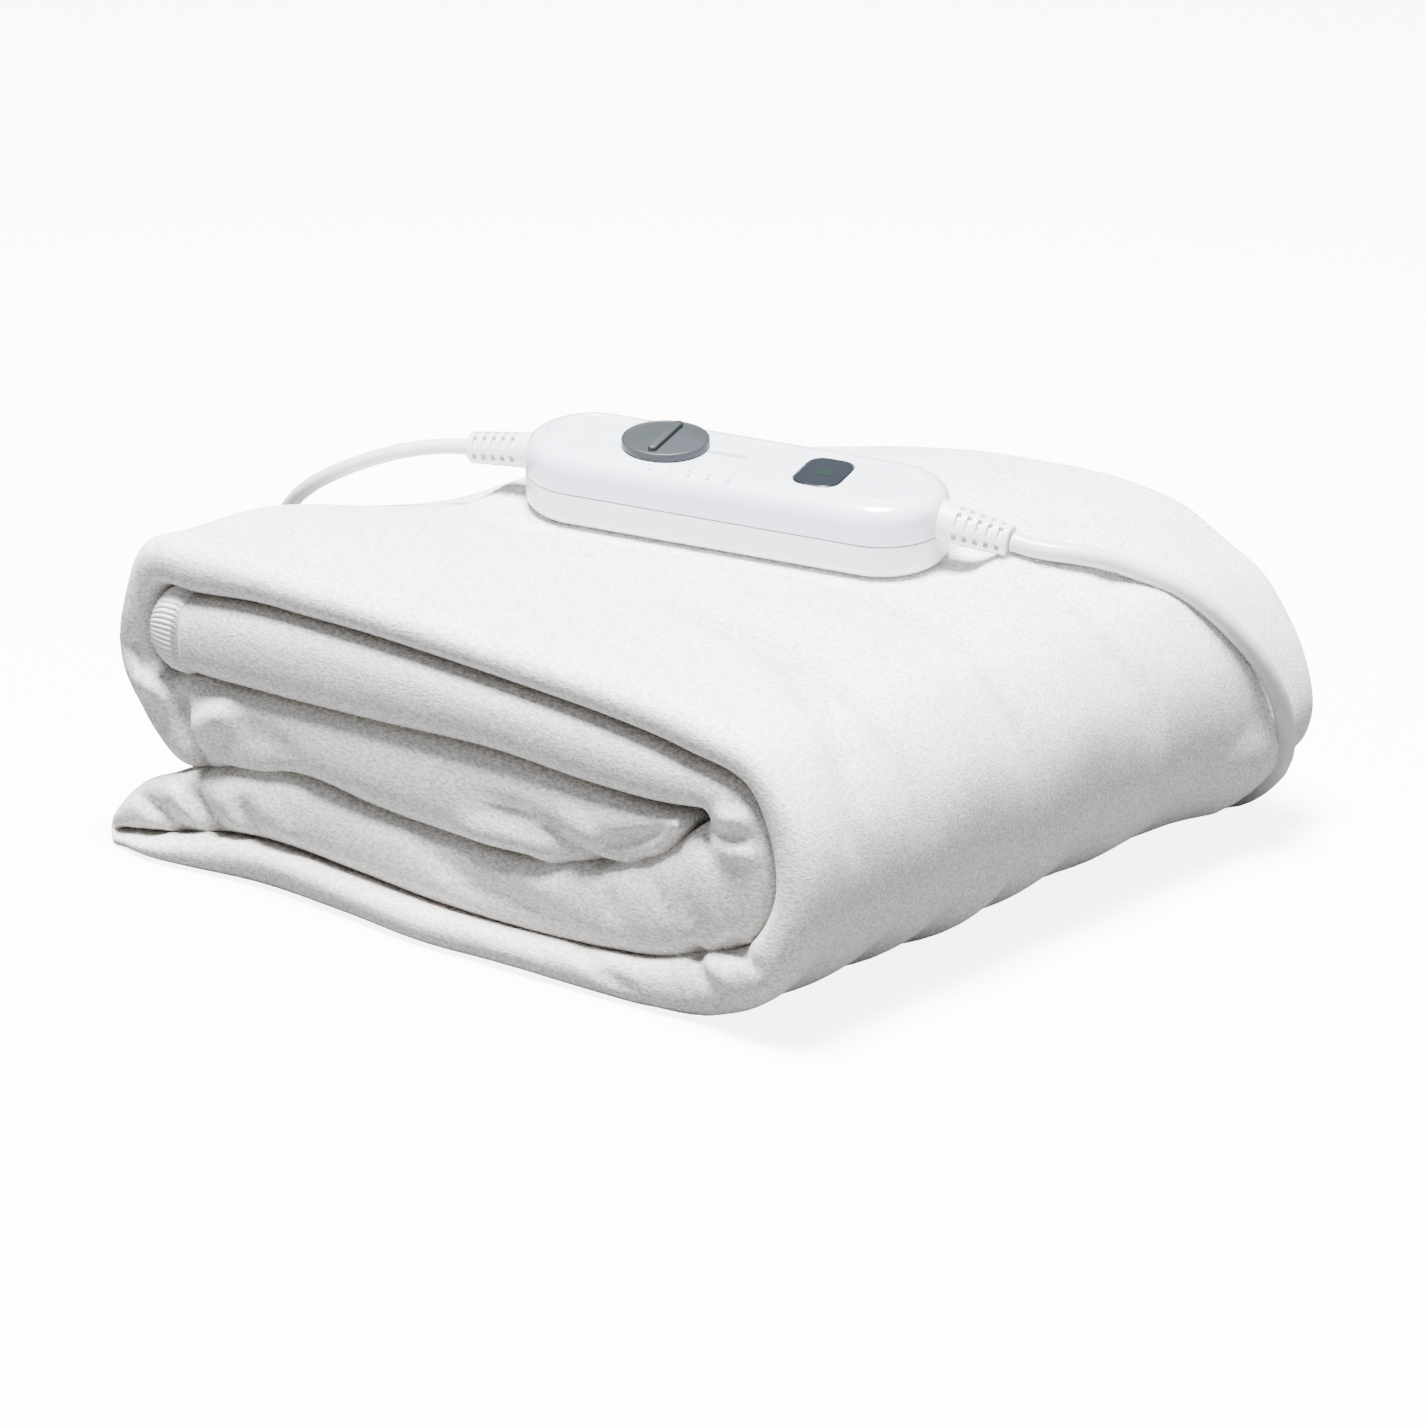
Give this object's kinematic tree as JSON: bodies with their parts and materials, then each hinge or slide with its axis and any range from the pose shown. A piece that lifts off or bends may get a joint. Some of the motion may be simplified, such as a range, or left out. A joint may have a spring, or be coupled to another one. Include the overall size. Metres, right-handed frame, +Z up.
{
  "type": "folded electric heated blanket",
  "caption": "Electric under-blanket of thick fleece, folded in a pile, with its rotary controller lying on top, a lead over its side and its mains lead coiled behind it.",
  "frame": {"origin": "middle of the folded pile's plan, on the surface that it lies on", "axes": "+Z up, -Y towards the side where the folds show, +X towards the large fold that the blanket's lead hangs over"},
  "size_m": [0.3756, 0.3043, 0.1252],
  "materials": {
    "fleece": "white brushed fleece with a soft nap",
    "shell": "glossy bluish white",
    "dial": "slate grey with a faint sheen",
    "lens": "dark smoked lens",
    "guard": "warm off-white soft plastic",
    "cord": "white satin sheath",
    "pins": "nickelled"
  },
  "bodies": {
    "blanket": {"blanket": "fleece", "housing_base": "shell", "housing_lid": "shell", "window": "lens", "guard_mains": "guard", "guard_blanket": "guard", "blanket_lead": "cord", "cord_entry": "guard", "mains_lead": "cord", "mains_coil": "cord", "coil_tie": "guard", "mains_tail": "cord", "plug_body": "cord", "plug_relief": "cord", "plug_pin_left": "pins", "plug_pin_right": "pins"},
    "dial": {"dial": "dial"}
  },
  "joints": [
    {"name": "dial_turn", "type": "hinge", "parent": "blanket", "child": "dial", "pos_m": [-0.02459, 0.00588, 0.11974], "axis": [0.0783, -0.0934, 0.9925], "range_deg": [-240, 0]}
  ]
}
